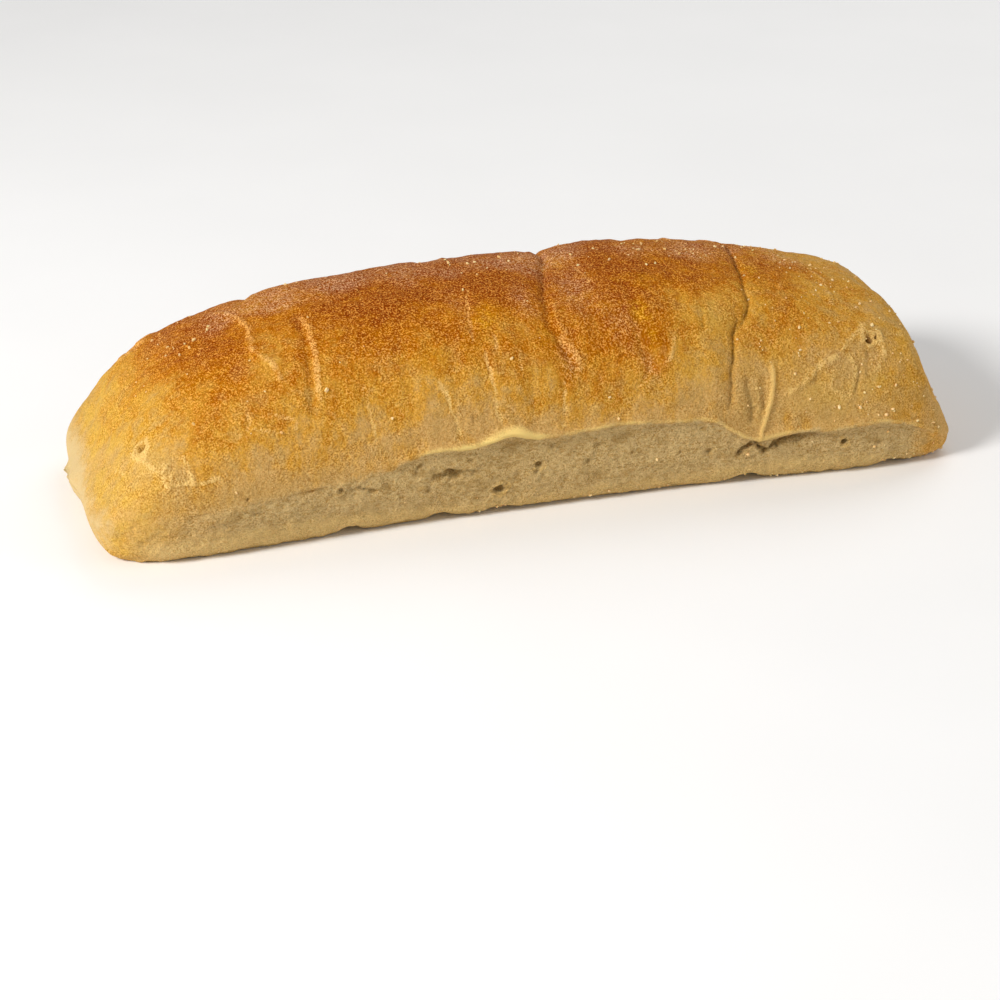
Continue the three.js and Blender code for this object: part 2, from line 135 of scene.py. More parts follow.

# Fine lines: path of (x, degrees), height (a groove below 0), width, and how pale (a dark line of painted shade
# in the groove below 0)
LINES = [
    ([(-71.4, 114), (-68, 97), (-66.7, 82), (-67.8, 68)], 0.3, 0.9, 0.7),
    ([(-68.3, 64.4), (-66.1, 56.6), (-64.4, 51.5), (-63.3, 45)], 0.3, 0.9, 0.6),
    ([(-54.2, 78), (-54.2, 64), (-54.4, 53), (-55, 43), (-55.6, 35)], 0.25, 0.8, 0.6),
    ([(-56.2, 55), (-57, 45), (-58.1, 34)], -0.2, 0.6, -0.35),
    ([(-72.6, 33.4), (-72.3, 29.4), (-73.3, 27)], -0.25, 0.6, 0.7),
    ([(-75.6, 27.6), (-72.4, 28.2)], -0.2, 0.5, -0.4),
    ([(-67.8, 32.2), (-65.3, 30.4), (-61.9, 28.6), (-62.2, 25)], 0.15, 0.6, 0.4),
    ([(-71.8, 26.8), (-66.6, 24.6), (-63.5, 24)], 0.12, 0.6, 0.35),
    ([(-98.7, 21.3), (-95.9, 17.1), (-93.4, 13.3), (-92.7, 9.7)], 0.22, 0.8, 0.8),
    ([(-93.7, 18.3), (-92.1, 15.6), (-91.8, 10.8)], 0.15, 0.6, 0.7),
    ([(-92.7, 9.7), (-89.2, 10.5), (-86.2, 10), (-81, 11)], 0.15, 0.6, 0.9),
    ([(-88.4, 20.1), (-87.4, 15), (-87, 10.1)], 0.12, 0.6, 0.35),
    ([(-103.4, 13.2), (-102, 12.4), (-100.3, 12.5)], 0.15, 0.6, 0.4),
    ([(-65.8, 10.7), (-62.8, 7.4), (-58.9, 3.6)], -0.2, 0.7, -0.2),
    ([(-44.9, 37.5), (-44.2, 27.6), (-43.1, 17.4)], -0.1, 0.6, 0.3),
    ([(-13.8, 76), (-16.6, 58), (-16.9, 49)], -0.12, 0.6, 0.55),
    ([(-17.8, 58.4), (-20.5, 50)], 0.1, 0.6, 0.3),
    ([(-14.8, 43.7), (-14.6, 38.8), (-13.9, 33.9), (-14, 26.8), (-12.6, 17)], -0.2, 0.55, 0.75),
    ([(-11.7, 51), (-11.9, 44.4)], -0.12, 0.5, 0.7),
    ([(-27.1, 36.3), (-25.5, 30.2), (-24.3, 23.9), (-22.9, 14.6)], -0.2, 0.55, 0.7),
    ([(-28.2, 34), (-26.6, 26), (-25, 20)], -0.12, 0.6, -0.25),
    ([(-19.8, 25.5), (-19.2, 17.9)], -0.25, 0.5, -0.6),
    ([(-6.2, 43.4), (-6.7, 36.2)], -0.1, 0.5, 0.5),
    ([(-4.6, 30), (-4.2, 16)], -0.15, 0.6, 0.25),
    ([(3.6, 29.7), (3.2, 21.2), (3, 14)], -0.2, 0.6, 0.5),
    ([(4.8, 47), (7.2, 40), (7.8, 33.8)], 0.25, 0.9, 0.55),
    ([(5.6, 62), (4.9, 54), (6.4, 47)], 0.2, 0.9, 0.4),
    ([(23.6, 48.5), (23.5, 39.5), (25.3, 30.8), (22.3, 25.2)], -0.3, 0.8, 0.3),
    ([(24.3, 50), (24.6, 40), (26.2, 33)], -0.15, 0.6, -0.35),
    ([(32.2, 40.6), (30.6, 34.6), (27.7, 30.3)], 0.25, 0.7, 0.45),
    ([(41.9, 54), (40.4, 48.4), (40.3, 43)], -0.3, 0.6, -0.5),
    ([(50.2, 22.7), (50.9, 14.5), (51.4, 5.5)], -0.5, 0.7, -0.3),
    ([(52.3, 23), (53, 14), (53, 6)], 0.25, 0.5, 0.3),
    ([(54, 23.3), (54.9, 16.4), (54.4, 11)], -0.35, 0.6, -0.25),
    ([(61, 16), (66.6, 21), (69.5, 25.6), (73.7, 27.5)], 0.4, 1, 0.6),
    ([(68.7, 25.8), (67.8, 19.5)], -0.3, 0.6, -0.5),
    ([(72.8, 22.4), (71.6, 16.2), (75.8, 10.2)], 0.15, 0.8, 0.3),
    ([(77.3, 26.8), (78.7, 22.7), (76.7, 11.4)], 0.2, 0.6, 0.5),
    ([(79.8, 22), (78.3, 13.8)], -0.35, 0.6, -0.5),
    ([(82.6, 28), (82, 18.3)], -0.3, 0.6, -0.45),
    ([(76.5, 31), (80.1, 35.4), (84.1, 40)], 0.3, 0.9, 0.6),
    ([(87.4, 37), (87.5, 32), (87.1, 26.5), (84.4, 20.3)], 0.25, 0.8, 0.5),
    ([(66, 62), (68, 82), (66, 96)], 0.15, 0.9, 0.2),
    ([(78, 52), (80, 74), (79, 96)], 0.2, 1, 0.35),
    ([(16, 92), (17, 74), (15, 60)], -0.15, 0.9, 0.25),
    ([(34, 92), (33, 74), (35, 62)], -0.12, 0.8, -0.2),
    ([(-38, 92), (-40, 74)], -0.1, 0.8, 0.2),
    ([(-78, 84), (-80, 70), (-78, 58)], 0.12, 0.9, 0.2),
]
MM_PER_DEGREE = 0.62
LINE_FULLER = 1.35  # than the heights above
# The back's fine lines, splits and pits are the front's, turned about the upright axis
BACK_SHIFT = -7  # and moved this far along
BACK_FROM = 112  # degrees, lines
BACK_Y = 20  # pits

PUCKER_RIDGE = [(-2, 53.2), (5, 54.4), (13.6, 56), (21.5, 56.7), (28, 56.8)]
RIDGE_HEIGHT = 0.75
RIDGE_WIDTH = 0.65

# Drapes: soft upright waves low on the front crust
DRAPE_DEPTH = 0.1
DRAPE_DEGREES = (12, 66, 24)
DRAPE_X = (-38, 46, 16)
DRAPE_LEAN = 40
DRAPE_WAVES = [(10.1, 1, 0), (6, 0.8, 2)]  # length, share, phase

# Splits and tears in the front band: path of (x, z), depth, width
SPLITS = [
    ([(48.6, 9.6), (50.6, 10.9), (52.6, 12.5), (54.5, 10.1), (56.3, 9.2), (57.6, 11.2), (58.8, 10.2)],
     2, 0.7),
    ([(57.6, 10.9), (59.4, 12.3), (61, 12.8), (64, 12.2), (66, 13.1), (69.5, 13.4)], 2, 0.75),
    ([(-30, 13.8), (-26, 14.1), (-22, 13.3), (-17.6, 13.6)], 1.1, 1),
    ([(-34, 16.6), (-31.6, 18)], 1.0, 1.2),
    ([(-75.1, 12.1), (-71.2, 11.3)], 0.5, 0.6),
    ([(-71, 17.1), (-66.6, 16.2)], 0.5, 0.6),
    ([(-64.1, 16.6), (-61, 15.9), (-57.6, 15.1)], 0.9, 0.7),
    ([(-50.8, 13.9), (-46.6, 13.4), (-43.6, 12.3)], 0.9, 0.8),
    ([(-84, 9.6), (-78, 9.2)], 0.4, 0.6),
    ([(-97, 8.4), (-88, 9.5)], 0.35, 0.6),
]
SPLIT_FADE = 1.6
TEARING = [(1.5, 90, 0.55), (0.8, 33, 0.25)]  # wave size, offset, share
SPLIT_UNEVEN = (1.1, 17, 0.75, 0.5)  # wave size, offset, middle, amount

# Pits: gas holes in the front, at (x, z), radius, depth
PITS = [
    (84, 34.3, 1.05, 2), (86.1, 34.2, 0.75, 1.2), (-96.9, 26.4, 1.1, 2), (-92.2, 24.4, 0.9, 0.6),
    (76.6, 9.6, 0.8, 1.3), (-12.3, 7.4, 1.0, 1.4), (-2.8, 13.3, 0.9, 0.9), (-3.4, 11.5, 0.7, 0.6),
    (9.5, 12.6, 0.8, 0.6), (-24, 13.2, 1.3, 0.5), (-74.6, 16, 0.45, 0.7), (-30.2, 10.4, 0.6, 0.5),
    (21, 13.4, 0.6, 0.5), (33.2, 12, 0.6, 0.5), (0.6, 18, 0.7, 0.5), (-52, 13.9, 0.7, 0.5),
    (12, 16.8, 0.8, 0.4), (27, 8.6, 0.6, 0.4), (41, 11, 0.7, 0.5), (-20, 17, 0.7, 0.4),
    (-37.6, 9.4, 0.6, 0.4), (66, 6.6, 0.6, 0.4), (85.5, 8.2, 0.7, 0.5),
]
PIT_RIM = 1.75  # of a soft raised rim, in pit radii
PIT_RIM_WIDTH = 0.6
PIT_RIM_SHARE = 0.16
PIT_WAVES = (1.5, 90)  # size, offset
PIT_RAGGED = 0.4

# Uneven skin: wave size, offset, depth
CRUST_WAVES = [(13, 0, 0.22), (5, 7, 0.15), (2.2, 14, 0.1)]
CRUST_WAVES_ON_BAND = 0.4
BAND_WAVES = [(7, 21, 0.18), (2.6, 22, 0.16), (1.4, 23, 0.13)]
PORE_SPACING = 2.1
PORE_SIZE = 0.45  # as a share of the spacing
PORE_DEPTH = 0.3
WANDER = [(3.2, 40, 1), (1.2, 44, 0.7)]  # wave size, offset, share: it makes drawn lines and edges uneven
WAVE_GAIN = 1.6  # brings the noise to about -1 to 1
END_CALM = 6

# ---------------------------------------------------------------- colour zones, by x and degrees
BAKE_START = [  # degrees where browning starts
    (-110, 24), (-95, 15), (-85, 3), (-75, 8), (-55, 11), (-35, 19), (-15, 22), (-5, 17), (5, 9),
    (25, 13), (45, 19), (65, 18), (75, 14), (85, 4), (95, -10), (105, -20),
]
BAKE_TOP = [  # how brown the crest is
    (-110, 0.1), (-102, 0.28), (-95, 0.46), (-85, 0.74), (-75, 0.92), (-65, 0.72), (-55, 0.76),
    (-45, 0.96), (-35, 1.04), (-25, 0.98), (-15, 0.96), (-5, 1.04), (5, 0.92), (15, 0.82), (25, 1.1),
    (35, 0.84), (45, 0.78), (55, 0.78), (65, 0.76), (75, 0.46), (85, 0.32), (95, 0.14), (105, 0.1),
]
MIRROR_AT = 109  # degrees: the zones behind it mirror those before it
UNDERSIDE = -90  # degrees: below it the underside counts on from the back
BAKE_FULL = 76  # degrees where browning is complete
BAKE_POWER = 0.75
BAKE_WANDER = 2.5
BAKE_MOTTLE = (17, 64, 0, 0.07)  # wave size, offset, middle, amount
# Patches: (x, degrees, reach in x, reach in degrees, change)
BAKE_PATCHES = [
    (66, 48, 6, 10, 0.16), (-12, 55, 4, 8, -0.1), (5, 48, 5, 8, 0.1), (97, 14, 5, 7, 0.22),
    (89, 62, 5, 6, 0.14), (98, 52, 4, 8, 0.16), (80, 88, 6, 6, 0.14), (90, 3, 4, 5, 0.2),
    (44, 48, 4, 9, -0.06), (-84, 26, 6, 9, 0.1), (-64, 62, 3, 12, -0.1), (-71, 66, 4, 10, 0.12),
    (-50, 60, 3, 8, -0.05), (61, 62, 2.4, 10, -0.1), (75, 22, 7, 7, -0.12), (52, 14, 5, 14, -0.15),
    (88, 52, 6, 8, -0.1), (-92, 14, 5, 6, -0.15), (70, 82, 5, 10, 0.1), (31, 64, 4, 8, -0.08),
    (12, 70, 4, 12, -0.05), (16, 44, 6, 16, 0.26), (-5, 56, 4, 14, -0.16), (54, 56, 3.5, 16, -0.12),
    (-60, 66, 8, 12, -0.06), (-64, 22, 5, 14, 0.21), (-87, 84, 6, 16, 0.07), (-95, 72, 5, 20, 0.1),
    (-85, 15, 5, 8, 0.12), (-8, 87, 42, 11, 0.08), (84, 44, 5, 14, 0.12), (75, 32, 6, 9, 0.11),
]
DRIP = [(24.6, 55), (25.4, 49), (26.8, 43), (27.2, 37), (26.6, 33)]  # a browner run of glaze
DRIP_WIDTH = 3.6
DRIP_EDGE = (0.3, 0.65)
DRIP_WANDER = 0.5
DRIP_BAKE = 0.16
AMBER_PATCHES = [
    (-12.5, 57, 3.4, 6, 1), (25.6, 53, 2.6, 5, 1), (27, 42, 2, 6, 0.6), (12, 98, 2.2, 8, 0.7),
    (-97, 76, 3, 22, 0.8), (0.5, 48, 2, 6, 0.5), (-30, 44, 12, 5, 0.45), (61, 80, 2.5, 12, 0.8),
    (-96, 33, 5, 9, 0.6), (29, 70, 5, 4, 0.4), (-97, 2, 4, 7, 0.5), (97, -14, 5, 6, 0.9),
    (-101, 46, 2.5, 8, 0.8), (72, 58, 6, 8, 0.4), (93, 20, 5, 6, 0.35), (99, 36, 4, 7, 0.3),
    (86, 74, 5, 6, 0.35), (-46, 33, 7, 5, 0.4), (8, 36, 4, 5, 0.4), (58, 58, 2, 9, 0.6),
    (-84, 50, 7, 10, 0.3), (36, 58, 3, 8, 0.4),
]
FLOUR_PATCHES = [
    (12, 70, 4.6, 15, 0.8), (-1.5, 66, 2.4, 9, 0.7), (5.4, 38, 2, 6, 0.7), (20, 50, 4, 10, 0.4),
    (-52, 106, 12, 9, 0.5), (25, 32, 2.4, 5, 0.5), (-18, 70, 2.5, 10, 0.3), (-38, 47, 5, 4, 0.3),
    (84, 26, 6, 7, 0.35), (68, 30, 4, 5, 0.4),
]
# Grey-beige tone; the last two patches, low on the front of the right end, are painted shade
GREY_AND_SHADE_PATCHES = [
    (51, 14, 4.6, 18, 0.8), (45, 50, 3.4, 7, 0.3), (77, 22, 7, 8, 0.5), (83, 30, 5, 5, 0.4),
    (20, 8, 34, 7, 0.3), (-14, 12, 16, 6, 0.12), (-58, 5, 13, 4, 0.3), (-92, 17, 3, 4, 0.4),
    (64, 24, 5, 8, 0.4), (-80, 2, 16, 6, 0.4), (72, 7, 8, 8, 0.5), (90, 8, 6, 7, 0.4),
]
GOLD_PATCHES = [
    (71, 12, 10, 9, 0.8), (46, 49, 6, 9, 0.8), (60, 30, 4, 7, 0.4), (84, 16, 5, 7, 0.5),
    (95, 34, 6, 18, 0.4), (37, 28, 6, 9, 0.5),
]
BAND_LEFT = (-106, -72)
BAND_RIGHT = (103, 92)
BAND_TOP = 0.5  # above the lip
BAND_EDGE = (-0.35, 0.5)
BAND_SOFT = (-34, -60)  # left of its strong lip the band fades into the crust
BAND_SOFTER = 5
BAND_WANDER = 0.6
# The crest's flour is flour dust and also painted sheen where light grazes the crest
FLOUR_EDGE = (84, 101)  # degrees, up the front
FLOUR_END = (142, 112)  # degrees, down the back
FLOUR_LEFT = (-96, -60)
FLOUR_RIGHT = (104, 60)
FLOUR_WAVES = (9, 83)  # size, offset
FLOUR_RAGGED = 7  # degrees by which its edges wander
FLOUR_UNEVEN = (0.75, 0.5)  # middle, amount
PALE_END = [  # the left end is smooth and pale beyond x, by y
    (-39, -103.5), (-35, -105.5), (-29, -107.5), (-19, -109.3), (-10, -108.6), (-1, -107.5), (14, -107),
    (30, -107.6),
]
PALE_END_FADE = 2
PALE_END_WANDER = 0.9
LEFT_GOLD = (-86, -104)  # the left end's crust is yellower
GOLD_UNEVEN = (4, 71, 0.75, 0.5)  # wave size, offset, middle, amount
HEM_TOP = [(-110, 6.5), (-50, 6.5), (-37, 5), (40, 5), (52, 6), (65, 6), (80, 5), (110, 4)]
HEM_FADE = 1.6
HEM_ENDS = (-99, 92, 10)
HEM_WANDER = 0.7

# ---------------------------------------------------------------- lines and smooth places, as colour
CREASE_LINE_WIDTH = 0.75  # in crease widths
CREASE_LINE_WANDER = 0.3
LINE_WIDTH = 0.9
LINE_WANDER = 0.25
LINE_PALE_POWER = 0.6
BROKEN_WAVES = (1.7, 55)  # size, offset: lines break up where these are low
BROKEN_EDGE = (-0.35, 0.4)
DARK_LEFT = 0.4  # of a line where it breaks up
PALE_LEFT = 0.45
LIP_UNEVEN = (4.5, 37, 0.9, 0.3)  # wave size, offset, middle, amount
# Painted shade in the colour of the splits and the pits
SPLIT_PAINTED_SHADE = 0.5
PIT_PAINTED_SHADE = 0.8
PALE_RIDGE = 0.8
PALE_RIM = 2
SLICK_RIDGE = 0.7
SLICK_END = 0.8
SLICK_DRIP = 0.45

# ---------------------------------------------------------------- mesh density
RING_STEP = 0.54
CAP_STEP = 0.55
TIP_GAP = 0.004
POINTS_AROUND = [8, 50, 146, 18]
POINT_BIAS = [1, 0.9, 1.12, 1]
ARC_SAMPLES = 600

# ---------------------------------------------------------------- grains of semolina
GRAIN_SEED = 11
GRAIN_COUNT = 430
GRAIN_SIZES = (0.2, 0.6)  # half lengths
GRAIN_SINK = 0.2
GRAIN_JITTER = 0.28
GRAIN_WIDTHS = (0.6, 0.85)  # in half lengths
GRAIN_THICKNESSES = (0.5, 0.75)
GRAIN_SIZE_POWER = 2  # most are small
GRAIN_FRONT = 70  # degrees: the big ones are placed in front of the middle or above this
GRAIN_MM_PER_DEGREE = 0.6
BIG_GRAINS = [  # x, degrees, half length
    (-53.4, 37.5, 0.78), (65.7, 41, 0.5), (64.5, 32, 0.5), (84.2, 50, 0.5), (62.7, 23, 0.45),
    (74, 8, 0.55), (79.5, 7, 0.6), (86.4, 3, 0.62), (80.1, 13, 0.5), (-79, 95, 0.6), (-75, 99, 0.5),
    (-86, 92, 0.45), (44.5, 92, 0.62), (42, 97, 0.55), (33.6, 81, 0.5), (-14.6, 76, 0.45),
    (-77.5, 5, 0.45), (36, 82, 0.45),
]
# Where grains fall: (x, degrees, reach in x, reach in degrees, weight)
GRAIN_ZONES = [
    (92, 10, 16, 30, 1.3), (80, 75, 14, 40, 0.9), (35, 100, 22, 12, 0.8), (-80, 85, 16, 30, 0.16),
    (60, 30, 18, 22, 0.4), (96, 150, 16, 50, 0.7), (20, 130, 60, 30, 0.25),
]
GRAIN_BACKGROUND = 0.035
GRAIN_EDGE_WEIGHT = 3.5  # along the front's bottom edge
GRAIN_EDGE = (-20, 108, 14)
GRAIN_EDGE_HEIGHT = 2.4
GRAIN_LOWEST = 0.7

# ---------------------------------------------------------------- camera and lights
CAMERA_AZIMUTH = -16.70
CAMERA_ELEVATION = 26.64
CAMERA_DISTANCE = 609.5
CAMERA_TARGET = (-2.73, 0, -12.22)
CAMERA_LENS = 85
CAMERA_CLIP = 0.01  # m
# Lights: place (m), size (m), power (W), colour
LIGHTS = {
    "key": ((-0.80, -0.32, 0.62), 0.3, 9.7, (1, 0.985, 0.96)),
    "fill": ((1.0, -0.45, 0.38), 0.7, 2.5, (1, 0.99, 0.97)),
    "back": ((0.5, 0.5, 0.75), 0.8, 2.7, (1, 0.99, 0.98)),
}
WORLD_STRENGTH = 0.3
FLOOR_SIZE = 8


def clamp01(value):
    return np.clip(value, 0, 1)


def bell(value):
    return np.exp(-value * value)


def smooth(value):
    """0 to 1 with a soft start and end."""
    value = clamp01(value)
    return value * value * (3 - 2 * value)


def rise(value, start, end):
    return smooth((value - start) / (end - start))


def between(value, start, end, fade):
    """1 between start and end, falling smoothly to 0 over fade at both."""
    return smooth((value - start) / fade + 0.5) * smooth((end - value) / fade + 0.5)


def curve(points):
    """A smooth function through (place, value) points, flat beyond them."""
    places, values = np.array(points, float).T
    rises = np.diff(values) / np.diff(places)
    slopes = np.concatenate((rises[:1], (rises[:-1] + rises[1:]) / 2, rises[-1:]))

    def value_at(place):
        place = np.clip(place, places[0], places[-1])
        k = np.clip(np.searchsorted(places, place, side="right") - 1, 0, len(places) - 2)
        gap = places[k + 1] - places[k]
        t = (place - places[k]) / gap
        start = (1 + 2 * t) * (1 - t) ** 2 * values[k] + t * (1 - t) ** 2 * gap * slopes[k]
        end = t * t * (3 - 2 * t) * values[k + 1] + t * t * (t - 1) * gap * slopes[k + 1]
        return start + end

    return value_at


front_lip_height = curve(FRONT_LIP_HEIGHT)
front_half_width = curve(FRONT_HALF_WIDTH)


def side_reach(width, overhang, t):
    """Distance of the side out from the middle line, t = 0 at the foot and 1 at the lip."""
    skirt = FOOT * np.sin(t * math.pi / 2) ** SKIRT_POWER
    return width - FOOT + skirt - overhang * t ** HOLLOW_START * (1 - t ** HOLLOW_CLOSE)


def section_points(x, v):
    """y and z on the plain section."""
    front, back = front_half_width(x), curve(BACK_HALF_WIDTH)(x)
    front_lip, back_lip = front_lip_height(x), curve(BACK_LIP_HEIGHT)(x)
    base, band, dome, back_band = (clamp01(v - part) for part in range(4))
    across, up = np.cos(math.pi * dome), np.sin(math.pi * dome)
    lip = front_lip * (1 - dome) + back_lip * dome
    dome_y = np.where(across > 0, -front, back) * np.abs(across) ** DOME_WIDTH_POWER
    dome_z = lip + (curve(CROWN_HEIGHT)(x) - lip) * np.maximum(up, 0) ** DOME_HEIGHT_POWER
    parts = [v < 1, v < 2, v < 3]
    y = np.select(parts, [
        (back - FOOT) * (1 - base) + (FOOT - front) * base,
        -side_reach(front, curve(FRONT_OVERHANG)(x), band),
        dome_y,
    ], side_reach(back, curve(BACK_OVERHANG)(x), 1 - back_band))
    z = np.select(parts, [0 * x * v, front_lip * band, dome_z], back_lip * (1 - back_band))
    return y, z


def round_over(gap, radius):
    return np.sqrt(np.maximum(1 - (1 - clamp01(gap / radius)) ** 2, 0))


def skin_points(x, v):
    """The plain skin, before relief, as an array of rings, points round and xyz."""
    y, z = section_points(x, v)
    left = x < 0
    plan = np.where(left, LEFT_END["plan"], RIGHT_END["plan"])
    narrowing = (1 - (np.abs(x) / HALF_LENGTH) ** plan) ** (1 / plan)
    tip = LEFT_TIP_HEIGHT + (RIGHT_TIP_HEIGHT - LEFT_TIP_HEIGHT) * (x / HALF_LENGTH + 1) / 2
    over = np.where(left, LEFT_END["over"], RIGHT_END["over"])
    under = np.where(left, LEFT_END["under"], RIGHT_END["under"])
    z = tip + (z - tip) * round_over(HALF_LENGTH - np.abs(x), np.where(z > tip, over, under))
    return np.stack((x + 0 * v, y * narrowing, z), axis=-1)


def skin_normals(points):
    along = np.gradient(points, axis=0)
    around = np.roll(points, -1, axis=1) - np.roll(points, 1, axis=1)
    normals = np.cross(along, around)
    return normals / np.maximum(np.linalg.norm(normals, axis=-1, keepdims=True), TINY)


def degrees_round(points):
    return np.degrees(np.arctan2(points[..., 2] - AXIS_HEIGHT, -points[..., 1]))


def waves(points, size, offset):
    """Smooth noise from about -1 to 1 with waves of that size."""
    flat = points.reshape(-1, 3) / size + offset
    values = [noise.noise(Vector(place)) for place in flat]
    return np.array(values).reshape(points.shape[:-1]) * WAVE_GAIN


def mixed_waves(points, parts):
    return sum(share * waves(points, size, offset) for size, offset, share in parts)


def uneven(points, size, offset, middle, amount):
    """Waves round a middle value."""
    return middle + amount * waves(points, size, offset)


def path_profile(place, along, path, width, fade):
    """1 on the path's line, falling to 0 beside it and beyond its ends."""
    line = curve(path)
    held = between(along, path[0][0], path[-1][0], fade)
    return held * bell((place - line(along)) / width)


def line_profile(x, degrees, path, width):
    """1 on a broken line through (x, degrees) points, falling to 0 round it."""
    corners = np.array(path, float) * (1, MM_PER_DEGREE)
    place = np.stack((x, degrees * MM_PER_DEGREE), axis=-1)
    nearest = np.full(x.shape, np.inf)
    for start, end in zip(corners[:-1], corners[1:]):
        step = end - start
        t = clamp01(((place - start) @ step) / (step @ step))
        nearest = np.minimum(nearest, np.linalg.norm(place - start - t[..., None] * step, axis=-1))
    return bell(nearest / width)


def both_sides(x, degrees, path, width):
    """A line on the front, and turned about the upright axis on the back."""
    behind = line_profile(BACK_SHIFT - x, 180 - degrees, path, width) * (degrees > BACK_FROM)
    return np.maximum(line_profile(x, degrees, path, width), behind)


def crease_relief(x, degrees, wander):
    relief = 0
    for path, depth, width, _ in CREASES:
        aside = (x + wander - curve(path)(degrees)) / width
        profile = bell(aside) + CREASE_FLANK_SHARE * bell(aside / CREASE_FLANK)
        relief = relief - depth * profile * between(degrees, path[0][0], path[-1][0], CREASE_FADE)
    for path, height, width, _ in LINES:
        relief = relief + LINE_FULLER * height * both_sides(x + wander, degrees, path, width)
    return relief + RIDGE_HEIGHT * path_profile(x, degrees, PUCKER_RIDGE, RIDGE_WIDTH, CREASE_FADE)


def drape_relief(x, degrees):
    start, end, fade = DRAPE_DEGREES
    hold = between(degrees, start, end, fade) * between(x, *DRAPE_X)
    total = 0
    for length, share, phase in DRAPE_WAVES:
        total = total + share * np.sin(2 * math.pi * x / length + phase + degrees / DRAPE_LEAN)
    return DRAPE_DEPTH * hold * total


def split_profile(x, z, wander):
    """How deep each point lies in a split of the band."""
    depth = 0
    for path, deep, width in SPLITS:
        depth = np.maximum(depth, deep * path_profile(z + wander, x, path, width, SPLIT_FADE))
    return depth


def pit_profile(points, side, ragged):
    """Depth of the pits, and height of the rims round them."""
    hole, rim = 0, 0
    for pit_x, pit_z, radius, depth in PITS:
        off = np.hypot(points[..., 0] - pit_x, points[..., 2] - pit_z) + FAR * ~side
        centre = points.reshape(-1, 3)[off.argmin()]
        away = np.linalg.norm(points - centre, axis=-1) / radius * (1 + PIT_RAGGED * ragged)
        hole = hole + depth * bell(away ** 2)
        rim = rim + depth * PIT_RIM_SHARE * bell((away - PIT_RIM) / PIT_RIM_WIDTH)
    return hole, rim


def nick_lift(x, foot_distance):
    lift = sum(height * bell((x - place) / reach) for place, height, reach in NICKS)
    return lift * bell(foot_distance / NICK_DEPTH)


def pores(points):
    """Small rounded holes, 1 in their middle."""
    flat = points.reshape(-1, 3) / PORE_SPACING
    nearest = [noise.voronoi(Vector(place))[0][0] for place in flat]
    return rise(np.array(nearest).reshape(points.shape[:-1]), PORE_SIZE, 0)


def cap_gaps(radius):
    count = round(math.pi / 2 * radius / CAP_STEP)
    return TIP_GAP + radius * (1 - np.cos(math.pi / 2 * np.arange(count) / count))


def ring_stops():
    start = -HALF_LENGTH + TIP_GAP + LEFT_END["over"]
    end = HALF_LENGTH - TIP_GAP - RIGHT_END["over"]
    straight = np.linspace(start, end, round((end - start) / RING_STEP) + 1)
    left = cap_gaps(LEFT_END["over"]) - HALF_LENGTH
    right = HALF_LENGTH - cap_gaps(RIGHT_END["over"])
    return np.sort(np.concatenate((left, straight, right)))


def stops_around():
    """v of the points round each ring, spaced by arc on the middle section."""
    stops = []
    for part, (count, bias) in enumerate(zip(POINTS_AROUND, POINT_BIAS)):
        v = np.linspace(part, part + 1, ARC_SAMPLES)
        y, z = section_points(np.zeros(1), v - TINY * (v == part + 1))
        lengths = np.concatenate(([0], np.cumsum(np.hypot(np.diff(y), np.diff(z)))))
        stops.extend(np.interp(lengths[-1] * (np.arange(count) / count) ** bias, lengths, v))
    return np.array(stops)


def patches(x, degrees, places):
    total = 0
    for patch_x, patch_degrees, reach_x, reach_degrees, amount in places:
        spread = bell((x - patch_x) / reach_x) * bell((degrees - patch_degrees) / reach_degrees)
        total = total + amount * spread
    return total


def line_masks(x, degrees, wander):
    """The creases' and fine lines' dark and pale colour, broken up: the dark is painted shade in their grooves.
    """
    dark, pale = 0, 0
    for path, _, width, tone in CREASES:
        place = x + CREASE_LINE_WANDER * wander
        line = path_profile(place, degrees, path, width * CREASE_LINE_WIDTH, CREASE_FADE)
        dark = np.maximum(dark, tone * line)
    for path, _, width, tone in LINES:
        line = both_sides(x + LINE_WANDER * wander, degrees, path, LINE_WIDTH * width)
        dark = np.maximum(dark, line * max(-tone, 0))
        pale = np.maximum(pale, line * max(tone, 0) ** LINE_PALE_POWER)
    return dark, pale


def band_masks(x, z, v, wander):
    """The pale side band and the cream hem at its foot."""
    is_band, front = (v < 2) | (v >= 3), v < CROWN
    top = np.where(front, front_lip_height(x), curve(BACK_LIP_HEIGHT)(x)) + BAND_TOP
    soft = 1 + BAND_SOFTER * rise(x, *BAND_SOFT)
    edge_start, edge_end = BAND_EDGE
    band = rise(top - z + BAND_WANDER * wander, edge_start * soft, edge_end * soft)
    band = np.where(is_band | front, band * rise(x, *BAND_LEFT) * rise(x, *BAND_RIGHT), 0)
    hem = rise(curve(HEM_TOP)(x) - z + HEM_WANDER * wander, -HEM_FADE, HEM_FADE)
    return band, hem * is_band * between(x, *HEM_ENDS)


def flour_and_sheen_mask(plain, x, degrees):
    # Flour dust on the crest and in patches, with painted sheen along the crest
    drift = waves(plain, *FLOUR_WAVES)
    place = degrees + FLOUR_RAGGED * drift
    middle, amount = FLOUR_UNEVEN
    crest = rise(place, *FLOUR_EDGE) * rise(place, *FLOUR_END) * clamp01(middle + amount * drift)
    return crest * rise(x, *FLOUR_LEFT) * rise(x, *FLOUR_RIGHT) + patches(x, degrees, FLOUR_PATCHES)


